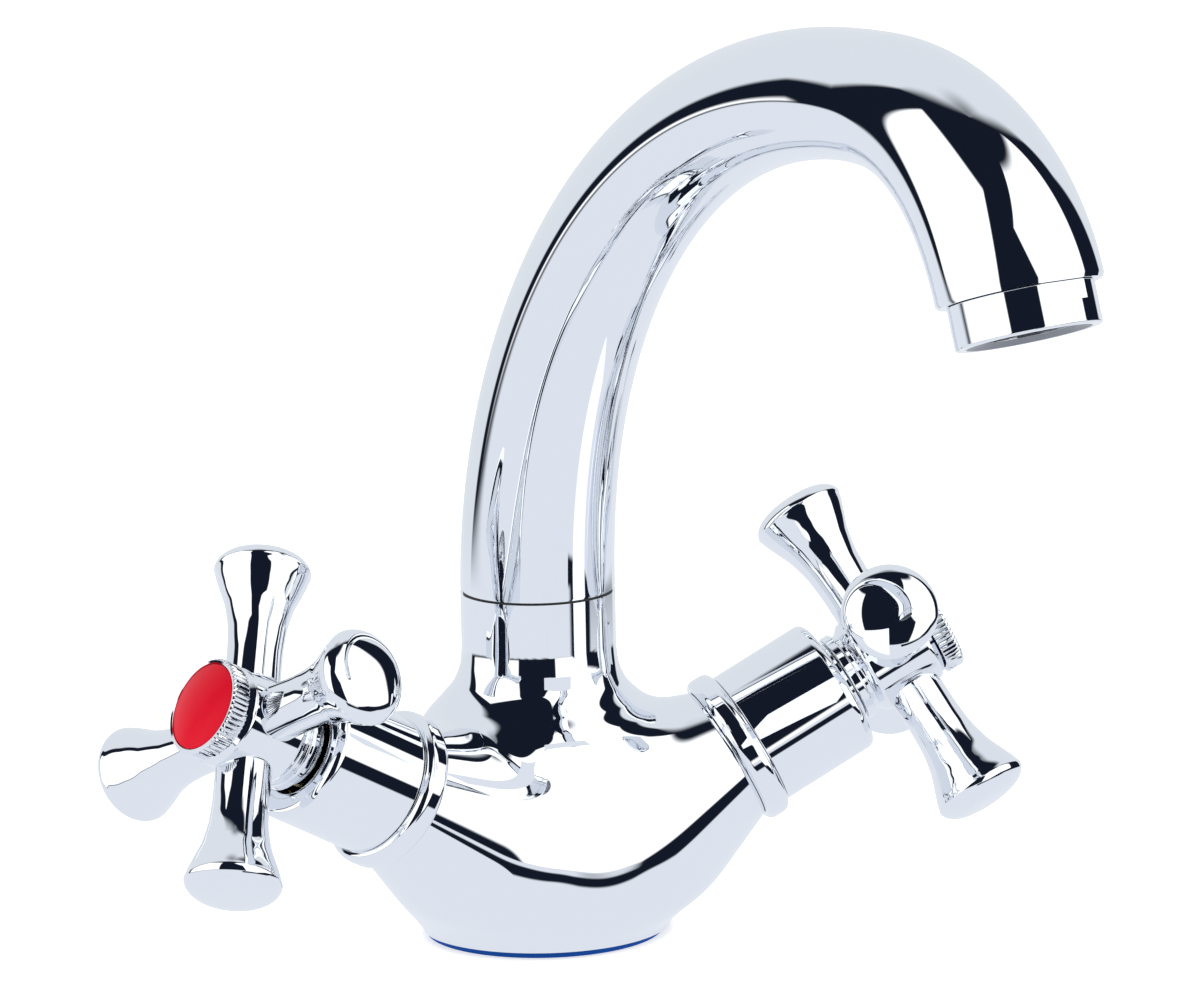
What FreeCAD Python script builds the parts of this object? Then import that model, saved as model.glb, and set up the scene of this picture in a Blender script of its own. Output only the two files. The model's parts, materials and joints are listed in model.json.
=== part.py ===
import FreeCAD, Part
import math
import os

import Sketcher

# Two-handle basin mixer: bell-shaped body with two rising arms, cross handles and a swivel spout.
# Millimetres. Origin at the centre of the gasket's underside, +Z up, spout towards -Y, hot side -X.

DIMENSIONS = {
    # base and body
    "gasket_thickness": 1.5,
    "gasket_radius": 25.0,
    "gasket_hole_margin": 2.0,
    "base_radius": 25.2,
    "base_rounding": 13.0,
    "side_start_height": 9.0,
    "side_radius": 27.3,
    "side_bulge_radius": 170.0,
    "shoulder_height": 39.9,
    "shoulder_radius": 27.2,
    "shoulder_rounding": 14.0,
    "flare_radius": 10.5,
    "flare_angle": 55.0,
    "flare_end_height": 60.7,
    "collar_radius": 16.3,
    "collar_height": 73.4,
    # arms: axes rise outwards and sweep forwards from one point
    "arm_rise": 28.6,
    "arm_sweep": 10.5,
    "arm_origin_forward": 4.6,
    "arm_origin_height": 15.2,
    "arm_root_radius": 26.0,
    "arm_taper_start": 16.5,
    "arm_end_radius": 15.0,
    "arm_face": 43.7,
    # water ways
    "inlet_radius": 4.5,
    "inlet_depth": 17.9,
    "inlet_side": 10.0,
    "inlet_forward": 6.5,
    "stud_hole_radius": 3.4,
    "stud_hole_depth": 14.0,
    "stud_back": 12.0,
    "feed_radius": 3.8,
    "feed_start": 11.6,
    "valve_bore_radius": 10.3,
    "valve_seat": 22.0,
    "mix_radius": 7.5,
    "mix_floor": 38.9,
    "cross_way_radius": 3.2,
    "cross_way_reach": 29.0,
    "tail_bore_radius": 11.5,
    "tail_bore_floor": 52.9,
    # headworks
    "running_gap": 0.05,
    "seat_seal_height": 2.0,
    "seat_seal_radius": 8.4,
    "seat_seal_hole": 4.0,
    "disc_radius": 8.0,
    "disc_height": 2.6,
    "disc_gap": 0.03,
    "port_outer": 6.3,
    "port_inner": 2.0,
    "port_angle": 130.0,
    "headwork_radius": 9.2,
    "headwork_wall_radius": 8.1,
    "window_height": 3.7,
    "window_width": 7.0,
    "thread_start": 33.0,
    "thread_relief": 2.0,
    "flange_lift": 0.1,
    "flange_height": 5.0,
    "flange_circumradius": 12.4,
    "seal_section": 0.9,
    "neck_end": 66.0,
    "neck_radius": 7.2,
    "neck_start": 55.0,
    "neck_taper": 2.0,
    "spindle_radius": 5.0,
    "spindle_foot_radius": 7.6,
    "spindle_foot_height": 4.0,
    "spindle_foot_clearance": 0.3,
    "spindle_end": 88.0,
    "spline_radius": 4.0,
    "spline_start": 68.5,
    "drive_lug_width": 3.0,
    "drive_lug_height": 1.2,
    "drive_lug_setback": 0.4,
    "groove_height": 58.0,
    "groove_section": 1.0,
    "circlip_height": 1.0,
    "circlip_radius": 6.6,
    "circlip_gap": 0.3,
    "circlip_groove_depth": 0.8,
    "circlip_angle": 300.0,
    # trim ring and sleeve
    "ring_radius": 16.9,
    "ring_length": 5.6,
    "ring_rounding": 1.9,
    "ring_bore": 12.8,
    "trim_gap": 0.12,
    "sleeve_radius": 15.0,
    "sleeve_end": 71.9,
    "sleeve_bore": 12.9,
    "sleeve_rounding": 3.2,
    "sleeve_mouth_radius": 9.7,
    "sleeve_step_radius": 11.0,
    "sleeve_step_depth": 0.8,
    "sleeve_lip": 1.8,
    # handles
    "skirt_start": 69.8,
    "skirt_radius": 8.7,
    "skirt_collar_radius": 9.9,
    "skirt_collar_start": 73.2,
    "skirt_collar_end": 75.4,
    "hub_start": 76.4,
    "hub_end": 93.0,
    "hub_radius": 10.6,
    "hub_neck_radius": 9.0,
    "hub_socket_radius": 6.0,
    "hub_socket_depth": 8.0,
    "hub_chamfer": 1.6,
    "screw_seat_gap": 0.4,
    "screw_well_gap": 1.0,
    "spoke_plane": 84.9,
    "spoke_seat": 9.2,
    "spoke_seat_gap": 0.05,
    "spoke_neck_radius": 5.9,
    "spoke_waist_radius": 5.7,
    "spoke_waist": 17.0,
    "spoke_spigot_radius": 3.0,
    "spoke_spigot_start": 6.4,
    "spoke_rim": 34.4,
    "spoke_rim_radius": 10.0,
    "spoke_flare_radius": 50.0,
    "spoke_rim_height": 1.6,
    "spoke_dome_height": 3.0,
    "hot_cross_angle": -28.0,
    "cold_cross_angle": -30.0,
    "cap_ring_radius": 10.5,
    "cap_ring_bore": 9.25,
    "cap_ring_lift": 0.1,
    "cap_ring_end": 97.2,
    "cap_groove_depth": 0.35,
    "cap_groove_width": 0.6,
    "index_height": 1.4,
    "index_radius": 9.2,
    "index_dome_height": 1.1,
    "screw_head_radius": 3.4,
    "screw_head_height": 2.4,
    "screw_radius": 2.0,
    "screw_length": 9.0,
    "screw_tip_gap": 1.0,
    "screw_socket": 1.5,
    "screw_socket_depth": 1.5,
    # spout
    "spout_turn": 10.7,
    "spout_start": 73.8,
    "spout_rise_radius": 117.0,
    "spout_rise_angle": 93.0,
    "spout_drop_radius": 47.2,
    "spout_drop_angle": 68.8,
    "spout_waist_at": 0.71,
    "spout_waist_radius": 13.05,
    "spout_taper_power": 0.65,
    "spout_mouth_radius": 16.5,
    "spout_wall": 2.4,
    "spout_foot_length": 9.0,
    "spout_mouth_length": 10.0,
    "tail_radius": 11.45,
    "tail_length": 20.0,
    "tail_spigot_radius": 10.0,
    "tail_water_way": 6.5,
    "tail_lift": 0.1,
    "tail_spigot_end_gap": 0.5,
    "tail_seal_section": 1.2,
    "tail_seal_depth": 2.4,
    "tail_upper_seal_below": 6.0,
    "tail_lower_seal_below": 10.0,
    "split_ring_below": 16.0,
    "split_ring_width": 1.5,
    "split_ring_height": 2.0,
    "split_ring_play": 0.1,
    "split_ring_angle": 325.0,
    "glide_ring_height": 0.35,
    "glide_ring_radius": 15.7,
    "glide_ring_bore": 12.2,
    # aerator
    "mouth_thread_radius": 12.0,
    "housing_radius": 14.4,
    "housing_length": 8.6,
    "housing_edge": 0.5,
    "housing_lift": 0.1,
    "housing_thread_length": 7.0,
    "housing_bore": 10.8,
    "housing_lip_radius": 9.8,
    "housing_lip": 1.4,
    "housing_rim_bore": 12.4,
    "housing_rim_edge": 0.4,
    "housing_flat": 13.4,
    "housing_flat_height": 3.7,
    "insert_height": 6.0,
    "insert_hole_radius": 1.1,
    "insert_hole_circle": 6.4,
    "screen_height": 0.8,
    "screen_bar": 0.8,
    "screen_pitch": 3.2,
    "screen_rim": 1.2,
    "washer_height": 1.6,
    "washer_overlap": 2.0,
    "washer_play": 0.2,
}

SIDES = {"hot": -1.0, "cold": 1.0}
SPOKES = ("up", "front", "down", "back")
CAP_GROOVES = 44
INSERT_HOLES = 10
SCREEN_BARS = 5
SPOUT_STATIONS = 14
FIXED_PORT_ANGLE = 115.0
CLOSED_PORT_ANGLE = FIXED_PORT_ANGLE + 180.0
QUARTER = 90.0
OVERRUN = 1.0

doc = FreeCAD.newDocument("basin_mixer")
sheet = doc.addObject("Spreadsheet::Sheet", "Dims")
for row, (alias, amount) in enumerate(DIMENSIONS.items(), start=1):
    sheet.set("A%d" % row, alias)
    sheet.set("B%d" % row, str(amount))
    sheet.setAlias("B%d" % row, alias)
doc.recompute()

nodes = {}


class Measure:
    """A value read from the sheet together with the expression that drives it."""

    def __init__(self, text, value):
        self.text = text
        self.value = value

    def combined(self, sign, other, value):
        return Measure("(%s %s %s)" % (self.text, sign, other.text), value)

    def __add__(self, other):
        other = as_measure(other)
        return self.combined("+", other, self.value + other.value)

    def __sub__(self, other):
        other = as_measure(other)
        return self.combined("-", other, self.value - other.value)

    def __mul__(self, other):
        other = as_measure(other)
        return self.combined("*", other, self.value * other.value)

    def __neg__(self):
        return Measure("(0 - %s)" % self.text, -self.value)


def as_measure(thing):
    if isinstance(thing, Measure):
        return thing
    return Measure("%.6f" % thing, float(thing))


def dim(alias):
    return Measure("Dims." + alias, float(sheet.get(alias)))


ZERO = as_measure(0)
AXIS = object()
VERTICAL_AXIS = -2


def bind(item, prop, measure):
    """Set a property and drive it from the sheet."""
    measure = as_measure(measure)
    setattr(item, prop, measure.value)
    item.setExpression(prop, measure.text)


def origin_feature(body, role):
    for feature in body.Origin.OriginFeatures:
        if feature.Role == role:
            return feature
    raise ValueError(role)


def new_sketch(body, name, role):
    sketch = body.newObject("Sketcher::SketchObject", name)
    sketch.AttachmentSupport = (origin_feature(body, role), [""])
    sketch.MapMode = "FlatFace"
    return sketch


def pin_vertex(sketch, edge, corner, point):
    """Fix a sketch vertex by its two distances from the sketch origin."""
    for kind, measure in zip(("DistanceX", "DistanceY"), point):
        number = sketch.addConstraint(Sketcher.Constraint(kind, -1, 1, edge, corner, measure.value))
        sketch.setExpression("Constraints[%d]" % number, measure.text)


def arc_between(start, end, radius):
    """Anticlockwise arc joining two points; a positive radius bulges it to the right of start-end."""
    half = (end - start) * 0.5
    rise = math.sqrt(max(radius * radius - half.Length ** 2, 0.0))
    left = FreeCAD.Vector(-half.y, half.x, 0).normalize()
    centre = start + half + left * math.copysign(rise, radius)
    first, last = (start, end) if radius > 0 else (end, start)
    angles = [math.atan2(point.y - centre.y, point.x - centre.x) for point in (first, last)]
    circle = Part.Circle(centre, FreeCAD.Vector(0, 0, 1), abs(radius))
    return Part.ArcOfCircle(circle, angles[0], angles[1])


def outline_sketch(sketch, outline):
    """Closed outline of (x, y) entries; a third item makes the edge to the next vertex an arc.

    It is the arc's radius, or AXIS for an arc centred on the vertical axis.
    """
    points = [(as_measure(entry[0]), as_measure(entry[1])) for entry in outline]
    places = [FreeCAD.Vector(x.value, y.value, 0) for x, y in points]
    corners = []
    for number, entry in enumerate(outline):
        start = places[number]
        end = places[(number + 1) % len(places)]
        if len(entry) > 2 and entry[2] is AXIS:
            drop = (start.x ** 2 - end.x ** 2) / (2 * (end.y - start.y))
            radius = math.hypot(start.x, (end.y - start.y) / 2 + drop)
            edge = sketch.addGeometry(arc_between(start, end, radius), False)
            sketch.addConstraint(Sketcher.Constraint("PointOnObject", edge, 3, VERTICAL_AXIS))
            corners.append((edge, 1, 2))
        elif len(entry) > 2:
            radius = as_measure(entry[2])
            edge = sketch.addGeometry(arc_between(start, end, radius.value), False)
            size = Measure("abs(%s)" % radius.text, abs(radius.value))
            limit = sketch.addConstraint(Sketcher.Constraint("Radius", edge, size.value))
            sketch.setExpression("Constraints[%d]" % limit, size.text)
            corners.append((edge, 1, 2) if radius.value > 0 else (edge, 2, 1))
        else:
            edge = sketch.addGeometry(Part.LineSegment(start, end), False)
            corners.append((edge, 1, 2))
    for number, (edge, first, last) in enumerate(corners):
        following, entrance, _ = corners[(number + 1) % len(corners)]
        sketch.addConstraint(Sketcher.Constraint("Coincident", edge, last, following, entrance))
        pin_vertex(sketch, edge, first, points[number])


def turned(label, outline, placement=None, angle=360.0):
    """Body of revolution about its own Z axis from an outline of (radius, height) entries."""
    body = doc.addObject("PartDesign::Body", label)
    body.Label = label
    sketch = new_sketch(body, label + "_outline", "XZ_Plane")
    outline_sketch(sketch, outline)
    turn = body.newObject("PartDesign::Revolution", label + "_turn")
    turn.Profile = sketch
    turn.ReferenceAxis = (sketch, ["V_Axis"])
    turn.Angle = angle
    sketch.Visibility = False
    if placement is not None:
        body.Placement = placement
    return body


def placed(item, placement):
    if placement is not None:
        item.Placement = placement
    return item


def tube_outline(inner, outer, low, high):
    return [(inner, low), (outer, low), (outer, high), (inner, high)]


def rod_outline(radius, low, high):
    return tube_outline(ZERO, radius, low, high)


def cylinder(label, radius, height, placement):
    item = doc.addObject("Part::Cylinder", label)
    bind(item, "Radius", radius)
    bind(item, "Height", height)
    return placed(item, placement)


def box(label, length, width, height, corner):
    """Block with its low corner at (x, y, z)."""
    item = doc.addObject("Part::Box", label)
    bind(item, "Length", length)
    bind(item, "Width", width)
    bind(item, "Height", height)
    item.Placement = FreeCAD.Placement(FreeCAD.Vector(*corner), FreeCAD.Rotation())
    return item


def hexagon(label, circumradius, height, corner):
    item = doc.addObject("Part::Prism", label)
    item.Polygon = 6
    bind(item, "Circumradius", circumradius)
    bind(item, "Height", height)
    item.Placement = FreeCAD.Placement(FreeCAD.Vector(*corner), FreeCAD.Rotation())
    return item


def fused(label, items, placement=None):
    result = doc.addObject("Part::MultiFuse", label)
    result.Shapes = items
    return placed(result, placement)


def cut(label, base, tools, placement=None):
    tool = tools[0] if len(tools) == 1 else fused(label + "_tools", tools)
    result = doc.addObject("Part::Cut", label)
    result.Base = base
    result.Tool = tool
    result.Label = label
    return placed(result, placement)


def torus(label, ring_radius, section, height, placement=None):
    """O-ring: a round section turned about Z at the given height."""
    item = doc.addObject("Part::Torus", label)
    bind(item, "Radius1", ring_radius)
    bind(item, "Radius2", section)
    item.Label = label
    local = FreeCAD.Placement(FreeCAD.Vector(0, 0, height.value), FreeCAD.Rotation())
    item.Placement = placement.multiply(local) if placement is not None else local
    return item


def rounded(label, base, places, radius, placement=None):
    """Fillet on the circular edges at the given (radius, height) places of a turned shape."""
    doc.recompute()
    chosen = []
    for number, edge in enumerate(base.Shape.Edges, start=1):
        if not hasattr(edge.Curve, "Radius") or not hasattr(edge.Curve, "Center"):
            continue
        for ring_radius, height in places:
            near_radius = abs(edge.Curve.Radius - ring_radius.value) < 1e-4
            near_height = abs(edge.Curve.Center.z - height.value) < 1e-4
            if near_radius and near_height:
                chosen.append((number, radius.value, radius.value))
    if len(chosen) != len(places):
        raise ValueError("%s: %d of %d edges found" % (label, len(chosen), len(places)))
    result = doc.addObject("Part::Fillet", label)
    result.Base = base
    result.Edges = chosen
    result.Label = label
    return placed(result, placement)


def upright(x, y, z):
    return FreeCAD.Placement(FreeCAD.Vector(x, y, z), FreeCAD.Rotation())


def arm_placement(side):
    """Frame of an arm: +Z outwards along its axis, +X upwards."""
    rise = math.radians(dim("arm_rise").value)
    sweep = math.radians(dim("arm_sweep").value)
    level = math.cos(rise)
    axis = FreeCAD.Vector(side * level * math.cos(sweep), -level * math.sin(sweep), math.sin(rise))
    upward = FreeCAD.Vector(0, 0, 1) - axis * axis.z
    upward.normalize()
    across = axis.cross(upward)
    origin = FreeCAD.Vector(0, -dim("arm_origin_forward").value, dim("arm_origin_height").value)
    return FreeCAD.Placement(origin, FreeCAD.Rotation(upward, across, axis, "ZXY"))


def spoke_placement(side, angle):
    """Frame of a spoke: +Z outwards from the handle's axis, angle from straight up to the front."""
    in_handle = FreeCAD.Rotation(FreeCAD.Vector(0, 0, 1), side * angle)
    lay_down = FreeCAD.Rotation(FreeCAD.Vector(0, 1, 0), 90)
    hub = FreeCAD.Placement(FreeCAD.Vector(0, 0, dim("spoke_plane").value), in_handle.multiply(lay_down))
    return arm_placement(side).multiply(hub)


def between(label, radius, start, end):
    """Cylinder from one point to another."""
    span = end - start
    turn = FreeCAD.Rotation(FreeCAD.Vector(0, 0, 1), span)
    return cylinder(label, radius, as_measure(span.Length), FreeCAD.Placement(start, turn))


# ---------------------------------------------------------------------------------------------
# Body
# ---------------------------------------------------------------------------------------------

body_floor = dim("gasket_thickness")


def body_outline():
    """Bell-shaped core: tucked-in foot, bulging side, rounded shoulder, flare into the collar."""
    flare = dim("flare_radius")
    turn = math.radians(dim("flare_angle").value)
    neck_radius = dim("collar_radius") + flare * (1 - math.cos(turn))
    neck_height = dim("flare_end_height") - flare * math.sin(turn)
    return [
        (ZERO, body_floor),
        (dim("base_radius"), body_floor, dim("base_rounding")),
        (dim("side_radius"), dim("side_start_height"), dim("side_bulge_radius")),
        (dim("shoulder_radius"), dim("shoulder_height"), dim("shoulder_rounding")),
        (neck_radius, neck_height, -flare),
        (dim("collar_radius"), dim("flare_end_height")),
        (dim("collar_radius"), dim("collar_height")),
        (ZERO, dim("collar_height")),
    ]


def arm_outline():
    """Half section of an arm: a round root inside the bell, then a straight taper to its face."""
    return [
        (ZERO, ZERO),
        (dim("arm_root_radius"), ZERO),
        (dim("arm_root_radius"), dim("arm_taper_start")),
        (dim("arm_end_radius"), dim("arm_face")),
        (ZERO, dim("arm_face")),
    ]


def waterways(name, side, frame):
    """Cutters of one side: valve bore, seal recess, feed, inlet and the way to the mixing chamber."""
    bore_depth = dim("arm_face") - dim("valve_seat") + OVERRUN
    seat = frame.multiply(upright(0, 0, dim("valve_seat").value))
    recess_depth = dim("seal_section") * 2
    recess_radius = dim("headwork_radius") + dim("seal_section") * 2 + dim("running_gap")
    recess = frame.multiply(upright(0, 0, dim("arm_face").value - recess_depth.value))
    feed = frame.multiply(upright(0, 0, dim("feed_start").value))
    feed_length = dim("valve_seat") - dim("feed_start") + OVERRUN
    inlet = upright(side * dim("inlet_side").value, -dim("inlet_forward").value, body_floor.value - OVERRUN)
    mixing_height = dim("mix_floor").value + dim("cross_way_radius").value + OVERRUN
    mixing = FreeCAD.Vector(0, 0, mixing_height)
    window = frame.multVec(FreeCAD.Vector(0, 0, dim("cross_way_reach").value))
    return [
        cylinder(name + "_valve_bore", dim("valve_bore_radius"), bore_depth, seat),
        cylinder(name + "_seal_recess", recess_radius, recess_depth + OVERRUN, recess),
        cylinder(name + "_feed", dim("feed_radius"), feed_length, feed),
        cylinder(name + "_inlet", dim("inlet_radius"), dim("inlet_depth") + OVERRUN, inlet),
        between(name + "_cross_way", dim("cross_way_radius"), mixing, window),
    ]


def build_body():
    core = turned("body_core", body_outline())
    solids = [core]
    hollows = [
        cylinder(
            "tail_bore",
            dim("tail_bore_radius"),
            dim("collar_height") - dim("tail_bore_floor") + OVERRUN,
            upright(0, 0, dim("tail_bore_floor").value),
        ),
        cylinder(
            "mixing_chamber",
            dim("mix_radius"),
            dim("tail_bore_floor") - dim("mix_floor") + OVERRUN,
            upright(0, 0, dim("mix_floor").value),
        ),
        cylinder(
            "stud_hole",
            dim("stud_hole_radius"),
            dim("stud_hole_depth") + OVERRUN,
            upright(0, dim("stud_back").value, body_floor.value - OVERRUN),
        ),
    ]
    for name, side in SIDES.items():
        frame = arm_placement(side)
        solids.append(turned(name + "_arm", arm_outline(), frame))
        hollows += waterways(name, side, frame)
    outside = fused("body_outside", solids)
    reach = (dim("arm_face") + dim("arm_root_radius")) * 2
    depth = dim("arm_root_radius") * 2
    corner = (-reach.value / 2, -reach.value / 2, body_floor.value - depth.value)
    below = box("below_base", reach, reach, depth, corner)
    nodes["body_casting"] = cut("body_casting", outside, hollows + [below])


def build_gasket():
    outline = rod_outline(dim("gasket_radius"), ZERO, dim("gasket_thickness"))
    disc = turned("gasket_disc", outline)
    height = dim("gasket_thickness") + OVERRUN * 2
    margin = dim("gasket_hole_margin")
    place = upright(0, dim("stud_back").value, -OVERRUN)
    holes = [cylinder("gasket_stud_hole", dim("stud_hole_radius") + margin, height, place)]
    for name, side in SIDES.items():
        place = upright(side * dim("inlet_side").value, -dim("inlet_forward").value, -OVERRUN)
        holes.append(cylinder(name + "_gasket_hole", dim("inlet_radius") + margin, height, place))
    nodes["base_gasket"] = cut("base_gasket", disc, holes)


# ---------------------------------------------------------------------------------------------
# Headwork, trim ring and sleeve of one side
# ---------------------------------------------------------------------------------------------

seal_top = dim("valve_seat") + dim("seat_seal_height")
fixed_disc_top = seal_top + dim("disc_height")
turning_disc_low = fixed_disc_top + dim("disc_gap")
turning_disc_top = turning_disc_low + dim("disc_height")
foot_low = turning_disc_top + dim("disc_gap")
foot_top = foot_low + dim("spindle_foot_height")
flange_low = dim("arm_face") + dim("flange_lift")
flange_top = flange_low + dim("flange_height")
ring_low = dim("arm_face") + dim("trim_gap")
ring_top = ring_low + dim("ring_length")
spindle_bore = dim("spindle_radius") + dim("running_gap")


def disc(label, low, frame, start_angle, slot):
    """Ceramic disc with one kidney-shaped port, and a slot for the drive lugs if asked."""
    blank = turned(label + "_blank", rod_outline(dim("disc_radius"), low, low + dim("disc_height")))
    top = low + dim("disc_height")
    port_outline = tube_outline(dim("port_inner"), dim("port_outer"), low - OVERRUN, top + OVERRUN)
    port = turned(label + "_port", port_outline, angle=dim("port_angle").value)
    port.Placement = FreeCAD.Placement(
        FreeCAD.Vector(), FreeCAD.Rotation(FreeCAD.Vector(0, 0, 1), start_angle)
    )
    tools = [port]
    if slot:
        width = dim("drive_lug_width") + dim("running_gap") * 2
        reach = dim("disc_radius") + OVERRUN
        depth = dim("drive_lug_height") + dim("running_gap") * 2
        corner = (-width.value / 2, -reach.value, top.value - depth.value)
        tools.append(box(label + "_slot", width, reach * 2, depth + OVERRUN, corner))
    nodes[label] = cut(label, blank, tools, frame)


def build_headwork(name, frame):
    thread_radius = dim("valve_bore_radius") - dim("running_gap")
    thread_end = dim("arm_face") - dim("thread_relief")
    foot_room = foot_top + dim("spindle_foot_clearance")
    shell = turned(
        name + "_headwork_shell",
        [
            (dim("headwork_wall_radius"), seal_top),
            (dim("headwork_radius"), seal_top),
            (dim("headwork_radius"), dim("thread_start")),
            (thread_radius, dim("thread_start")),
            (thread_radius, thread_end),
            (dim("headwork_radius"), thread_end),
            (dim("headwork_radius"), dim("neck_start")),
            (dim("neck_radius"), dim("neck_start") + dim("neck_taper")),
            (dim("neck_radius"), dim("neck_end")),
            (spindle_bore, dim("neck_end")),
            (spindle_bore, foot_room),
            (dim("headwork_wall_radius"), foot_room),
        ],
    )
    flange_height = dim("flange_height")
    flange = hexagon(name + "_flange", dim("flange_circumradius"), flange_height, (0, 0, flange_low.value))
    core_radius = dim("headwork_radius") - OVERRUN
    core = cylinder(name + "_flange_core", core_radius, flange_height, upright(0, 0, flange_low.value))
    flange_ring = cut(name + "_flange_ring", flange, [core])
    reach = dim("headwork_radius") + OVERRUN
    corner = (-dim("window_width").value / 2, -reach.value, turning_disc_top.value)
    window = box(name + "_window", dim("window_width"), reach * 2, dim("window_height"), corner)
    label = name + "_headwork"
    nodes[label] = cut(label, fused(name + "_headwork_solid", [shell, flange_ring]), [window], frame)


def build_seals(name, frame):
    section = dim("seal_section")
    label = name + "_flange_seal"
    nodes[label] = torus(label, dim("headwork_radius") + section, section, dim("arm_face") - section, frame)
    label = name + "_seat_seal"
    outline = tube_outline(dim("seat_seal_hole"), dim("seat_seal_radius"), dim("valve_seat"), seal_top)
    nodes[label] = turned(label, outline, frame)


def build_trim(name, frame):
    label = name + "_bonnet_ring"
    blank = turned(label + "_blank", tube_outline(dim("ring_bore"), dim("ring_radius"), ring_low, ring_top))
    edges = [(dim("ring_radius"), ring_low), (dim("ring_radius"), ring_top)]
    nodes[label] = rounded(label, blank, edges, dim("ring_rounding"), frame)
    label = name + "_sleeve"
    low = ring_top + dim("trim_gap")
    end = dim("sleeve_end")
    blank = turned(
        label + "_blank",
        [
            (dim("sleeve_bore"), low),
            (dim("sleeve_radius"), low),
            (dim("sleeve_radius"), end),
            (dim("sleeve_step_radius"), end),
            (dim("sleeve_step_radius"), end - dim("sleeve_step_depth")),
            (dim("sleeve_mouth_radius"), end - dim("sleeve_step_depth")),
            (dim("sleeve_mouth_radius"), end - dim("sleeve_step_depth") - dim("sleeve_lip")),
            (dim("sleeve_bore"), end - dim("sleeve_step_depth") - dim("sleeve_lip")),
        ],
    )
    edges = [(dim("sleeve_radius"), end)]
    nodes[label] = rounded(label, blank, edges, dim("sleeve_rounding"), frame)


# ---------------------------------------------------------------------------------------------
# Handle of one side
# ---------------------------------------------------------------------------------------------

screw_hole_radius = dim("screw_radius") + dim("running_gap")
screw_seat = dim("spindle_end") + dim("screw_seat_gap")


def build_spindle(name, frame):
    groove_low = dim("groove_height") - dim("groove_section")
    groove_high = dim("groove_height") + dim("groove_section")
    groove_radius = dim("spindle_radius") - dim("groove_section") * 2
    clip_low = dim("neck_end") + dim("circlip_gap")
    clip_high = clip_low + dim("circlip_height")
    clip_radius = dim("spindle_radius") - dim("circlip_groove_depth")
    shaft = turned(
        name + "_shaft",
        [
            (ZERO, foot_low),
            (dim("spindle_foot_radius"), foot_low),
            (dim("spindle_foot_radius"), foot_top),
            (dim("spindle_radius"), foot_top),
            (dim("spindle_radius"), groove_low),
            (groove_radius, groove_low),
            (groove_radius, groove_high),
            (dim("spindle_radius"), groove_high),
            (dim("spindle_radius"), clip_low),
            (clip_radius, clip_low),
            (clip_radius, clip_high),
            (dim("spindle_radius"), clip_high),
            (dim("spindle_radius"), dim("spline_start")),
            (dim("spline_radius"), dim("spline_start")),
            (dim("spline_radius"), dim("spindle_end")),
            (screw_hole_radius, dim("spindle_end")),
            (screw_hole_radius, dim("spindle_end") - dim("screw_length")),
            (ZERO, dim("spindle_end") - dim("screw_length")),
        ],
    )
    lug_height = dim("drive_lug_height")
    lug_width = dim("drive_lug_width")
    reach = dim("spindle_foot_radius") - dim("drive_lug_setback")
    corner = (-lug_width.value / 2, -reach.value, foot_low.value - lug_height.value)
    lug = box(name + "_drive_lug", lug_width, reach * 2, lug_height + OVERRUN, corner)
    label = name + "_spindle"
    nodes[label] = fused(label, [shaft, lug], frame)
    nodes[label].Label = label
    label = name + "_spindle_seal"
    section = dim("groove_section")
    nodes[label] = torus(label, dim("spindle_radius") - section, section, dim("groove_height"), frame)
    label = name + "_circlip"
    outline = tube_outline(clip_radius, dim("circlip_radius"), clip_low, clip_high)
    nodes[label] = turned(label, outline, frame, angle=dim("circlip_angle").value)


def build_hub(name, side, cross_angle, frame):
    label = name + "_hub"
    chamfer = dim("hub_chamfer")
    well = dim("screw_head_radius") + dim("screw_well_gap")
    blank = turned(
        label + "_blank",
        [
            (dim("spline_radius"), dim("hub_start")),
            (dim("hub_socket_radius"), dim("hub_start")),
            (dim("hub_socket_radius"), dim("skirt_start")),
            (dim("skirt_radius"), dim("skirt_start")),
            (dim("skirt_radius"), dim("skirt_collar_start")),
            (dim("skirt_collar_radius"), dim("skirt_collar_start")),
            (dim("skirt_collar_radius"), dim("skirt_collar_end")),
            (dim("hub_neck_radius"), dim("skirt_collar_end")),
            (dim("hub_neck_radius"), dim("hub_start")),
            (dim("hub_radius"), dim("hub_start") + chamfer),
            (dim("hub_radius"), dim("hub_end") - chamfer),
            (dim("hub_neck_radius"), dim("hub_end")),
            (well, dim("hub_end")),
            (well, screw_seat),
            (screw_hole_radius, screw_seat),
            (screw_hole_radius, dim("spindle_end")),
            (dim("spline_radius"), dim("spindle_end")),
        ],
    )
    sockets = []
    seat_depth = dim("hub_radius") - dim("spoke_seat") + OVERRUN
    spigot_depth = dim("hub_radius") - dim("spoke_spigot_start") + OVERRUN
    seat_radius = dim("spoke_neck_radius") + dim("spoke_seat_gap")
    spigot_radius = dim("spoke_spigot_radius") + dim("spoke_seat_gap")
    for number, spoke in enumerate(SPOKES):
        place = frame.inverse().multiply(spoke_placement(side, cross_angle + QUARTER * number))
        spigot = place.multiply(upright(0, 0, dim("spoke_spigot_start").value))
        seat = place.multiply(upright(0, 0, dim("spoke_seat").value))
        sockets.append(cylinder("%s_%s_socket" % (name, spoke), spigot_radius, spigot_depth, spigot))
        sockets.append(cylinder("%s_%s_seat" % (name, spoke), seat_radius, seat_depth, seat))
    nodes[label] = cut(label, blank, sockets, frame)


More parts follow.
